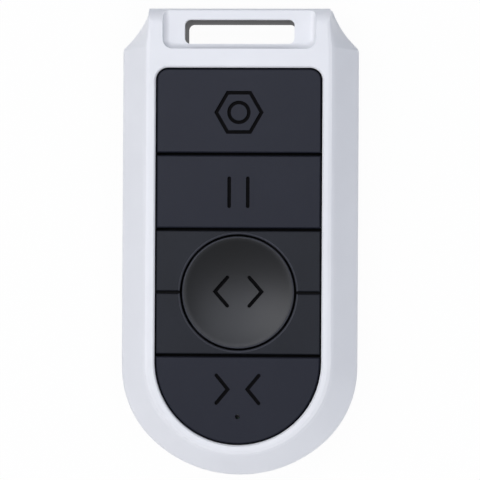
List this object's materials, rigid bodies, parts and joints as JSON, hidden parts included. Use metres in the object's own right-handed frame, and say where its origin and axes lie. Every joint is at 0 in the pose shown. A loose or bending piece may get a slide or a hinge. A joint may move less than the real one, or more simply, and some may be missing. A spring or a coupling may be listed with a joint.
{
  "type": "gate remote control",
  "caption": "Pocket remote for a sliding gate: pale frame with a strap slot, black bar keys, a dished round key, screwed back and a coin-cell cap.",
  "frame": {"origin": "centre of the flat back face, where the remote rests", "axes": "+Z out of the key face, +Y along the case towards the strap slot, +X to the right with the keys facing the viewer"},
  "size_m": [0.0406, 0.08, 0.0125],
  "materials": {
    "frame_plastic": "satin cool white moulded ABS",
    "rear_plastic": "fine spark-textured dark grey ABS",
    "key_plastic": "matte black moulded ABS",
    "panel_plastic": "matte black moulded ABS",
    "chassis_plastic": "plain black ABS",
    "cap_plastic": "fine spark-textured dark grey ABS",
    "board_laminate": "green solder mask on glass epoxy",
    "switch_moulding": "black nylon switch body",
    "plunger_moulding": "natural acetal",
    "chip_resin": "black epoxy package",
    "crystal_can": "plated steel can",
    "light_lens": "milky light-emitting diode lens",
    "capacitor_ceramic": "fired ceramic with tinned ends",
    "antenna_metal": "tinned copper strip",
    "cell_steel": "nickel-plated steel can",
    "contact_steel": "nickel-plated spring strip",
    "screw_steel": "zinc-plated steel"
  },
  "bodies": {
    "housing": {"front_frame": "frame_plastic", "rear_cover": "rear_plastic", "centre_panel": "panel_plastic", "key_chassis": "chassis_plastic", "circuit_board": "board_laminate", "microcontroller": "chip_resin", "radio_chip": "chip_resin", "crystal": "crystal_can", "status_light": "light_lens", "capacitors": "capacitor_ceramic", "antenna": "antenna_metal", "coin_cell": "cell_steel", "negative_contact": "contact_steel", "positive_contact": "contact_steel", "housing_screws": "screw_steel", "settings_switch": "switch_moulding", "pause_switch": "switch_moulding", "open_switch": "switch_moulding", "close_switch": "switch_moulding"},
    "settings_button": {"settings_key": "key_plastic", "settings_plunger": "plunger_moulding"},
    "pause_button": {"pause_key": "key_plastic", "pause_plunger": "plunger_moulding"},
    "open_button": {"open_key": "key_plastic", "open_plunger": "plunger_moulding"},
    "close_button": {"close_key": "key_plastic", "close_plunger": "plunger_moulding"},
    "cap": {"battery_cap": "cap_plastic"}
  },
  "joints": [
    {"name": "settings_press", "type": "slide", "parent": "housing", "child": "settings_button", "axis": [0, 0, -1], "range_m": [0, 0.0005], "stiffness_N_per_m": 600, "springref_m": -0.0004},
    {"name": "pause_press", "type": "slide", "parent": "housing", "child": "pause_button", "axis": [0, 0, -1], "range_m": [0, 0.0005], "stiffness_N_per_m": 600, "springref_m": -0.0004},
    {"name": "open_press", "type": "slide", "parent": "housing", "child": "open_button", "axis": [0, 0, -1], "range_m": [0, 0.0005], "stiffness_N_per_m": 600, "springref_m": -0.0004},
    {"name": "close_press", "type": "slide", "parent": "housing", "child": "close_button", "axis": [0, 0, -1], "range_m": [0, 0.0005], "stiffness_N_per_m": 600, "springref_m": -0.0004},
    {"name": "cap_turn", "type": "hinge", "parent": "housing", "child": "cap", "pos_m": [0, -0.009, 0], "axis": [0, 0, 1], "range_deg": [0, 45]}
  ]
}
